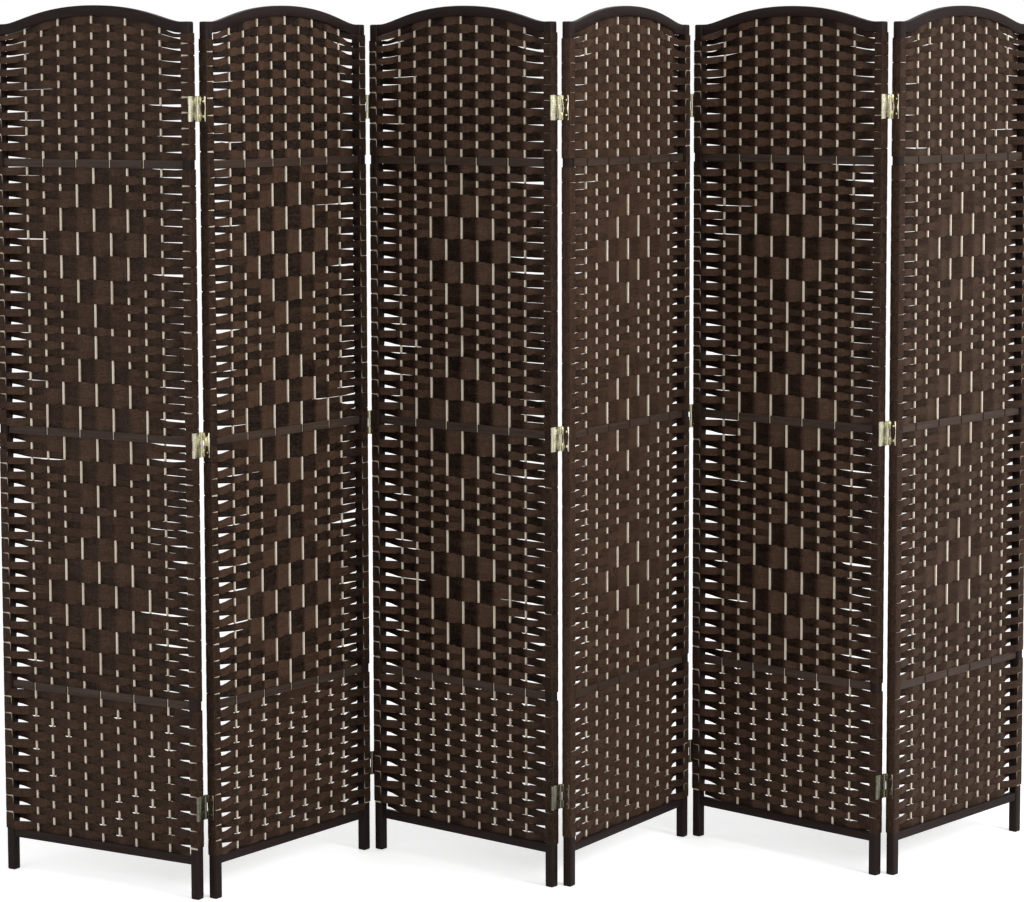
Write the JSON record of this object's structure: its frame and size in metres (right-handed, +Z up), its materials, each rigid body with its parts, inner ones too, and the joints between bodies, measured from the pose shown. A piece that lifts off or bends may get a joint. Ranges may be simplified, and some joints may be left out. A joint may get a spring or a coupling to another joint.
{
  "type": "folding room divider screen",
  "caption": "Free-standing folding room divider: arched panels with dark woven strips on upright sticks in slim wooden frames, joined by two-way brass hinges and set up in a zigzag.",
  "frame": {"origin": "on the floor, below the middle of the set-up screen", "axes": "+X along the row of panels, the front faces -Y, +Z up"},
  "size_m": [2.19, 0.4098, 1.79],
  "materials": {
    "posts": "dark espresso stain, satin",
    "rails": "dark espresso stain, satin",
    "weave": "woven paper fibre strips, matt",
    "hinges": "brass plated, lightly polished"
  },
  "bodies": {
    "panel_1": {"panel_1_left_post": "posts", "panel_1_right_post": "posts", "panel_1_top_rail": "rails", "panel_1_bottom_rail": "rails", "panel_1_lower_rail": "rails", "panel_1_upper_rail": "rails", "panel_1_woven_infill": "weave"},
    "joint_1_links": {"joint_1_lower_hinge_link": "hinges", "joint_1_middle_hinge_link": "hinges", "joint_1_upper_hinge_link": "hinges"},
    "panel_2": {"panel_2_left_post": "posts", "panel_2_right_post": "posts", "panel_2_top_rail": "rails", "panel_2_bottom_rail": "rails", "panel_2_lower_rail": "rails", "panel_2_upper_rail": "rails", "panel_2_woven_infill": "weave"},
    "joint_2_links": {"joint_2_lower_hinge_link": "hinges", "joint_2_middle_hinge_link": "hinges", "joint_2_upper_hinge_link": "hinges"},
    "panel_3": {"panel_3_left_post": "posts", "panel_3_right_post": "posts", "panel_3_top_rail": "rails", "panel_3_bottom_rail": "rails", "panel_3_lower_rail": "rails", "panel_3_upper_rail": "rails", "panel_3_woven_infill": "weave"},
    "joint_3_links": {"joint_3_lower_hinge_link": "hinges", "joint_3_middle_hinge_link": "hinges", "joint_3_upper_hinge_link": "hinges"},
    "panel_4": {"panel_4_left_post": "posts", "panel_4_right_post": "posts", "panel_4_top_rail": "rails", "panel_4_bottom_rail": "rails", "panel_4_lower_rail": "rails", "panel_4_upper_rail": "rails", "panel_4_woven_infill": "weave"},
    "joint_4_links": {"joint_4_lower_hinge_link": "hinges", "joint_4_middle_hinge_link": "hinges", "joint_4_upper_hinge_link": "hinges"},
    "panel_5": {"panel_5_left_post": "posts", "panel_5_right_post": "posts", "panel_5_top_rail": "rails", "panel_5_bottom_rail": "rails", "panel_5_lower_rail": "rails", "panel_5_upper_rail": "rails", "panel_5_woven_infill": "weave"},
    "joint_5_links": {"joint_5_lower_hinge_link": "hinges", "joint_5_middle_hinge_link": "hinges", "joint_5_upper_hinge_link": "hinges"},
    "panel_6": {"panel_6_left_post": "posts", "panel_6_right_post": "posts", "panel_6_top_rail": "rails", "panel_6_bottom_rail": "rails", "panel_6_lower_rail": "rails", "panel_6_upper_rail": "rails", "panel_6_woven_infill": "weave"}
  },
  "joints": [
    {"name": "joint_1_back_pivot", "type": "hinge", "parent": "panel_2", "child": "joint_1_links", "pos_m": [-0.68874, -0.16799, 0.9], "axis": [0, 0, -1], "range_deg": [-84, 96]},
    {"name": "joint_1_front_pivot", "type": "hinge", "parent": "joint_1_links", "child": "panel_1", "pos_m": [-0.70413, -0.18769, 0.9], "axis": [0, 0, -1], "range_deg": [-180, 0]},
    {"name": "joint_2_back_pivot", "type": "hinge", "parent": "panel_3", "child": "joint_2_links", "pos_m": [-0.30484, 0.19104, 0.9], "axis": [0, 0, 1], "range_deg": [-180, 0]},
    {"name": "joint_2_front_pivot", "type": "hinge", "parent": "joint_2_links", "child": "panel_2", "pos_m": [-0.32342, 0.17431, 0.9], "axis": [0, 0, 1], "range_deg": [-94, 86]},
    {"name": "joint_3_front_pivot", "type": "hinge", "parent": "panel_3", "child": "joint_3_links", "pos_m": [0.01114, -0.19726, 0.9], "axis": [0, 0, 1], "range_deg": [-180, 0]},
    {"name": "joint_3_back_pivot", "type": "hinge", "parent": "joint_3_links", "child": "panel_4", "pos_m": [0.02972, -0.18053, 0.9], "axis": [0, 0, 1], "range_deg": [-98, 82]},
    {"name": "joint_4_front_pivot", "type": "hinge", "parent": "panel_4", "child": "joint_4_links", "pos_m": [0.37027, 0.18642, 0.9], "axis": [0, 0, -1], "range_deg": [-101, 79]},
    {"name": "joint_4_back_pivot", "type": "hinge", "parent": "joint_4_links", "child": "panel_5", "pos_m": [0.38969, 0.20215, 0.9], "axis": [0, 0, -1], "range_deg": [-180, 0]},
    {"name": "joint_5_front_pivot", "type": "hinge", "parent": "panel_5", "child": "joint_5_links", "pos_m": [0.68493, -0.20215, 0.9], "axis": [0, 0, 1], "range_deg": [-180, 0]},
    {"name": "joint_5_back_pivot", "type": "hinge", "parent": "joint_5_links", "child": "panel_6", "pos_m": [0.70435, -0.18642, 0.9], "axis": [0, 0, 1], "range_deg": [-92, 88]}
  ]
}
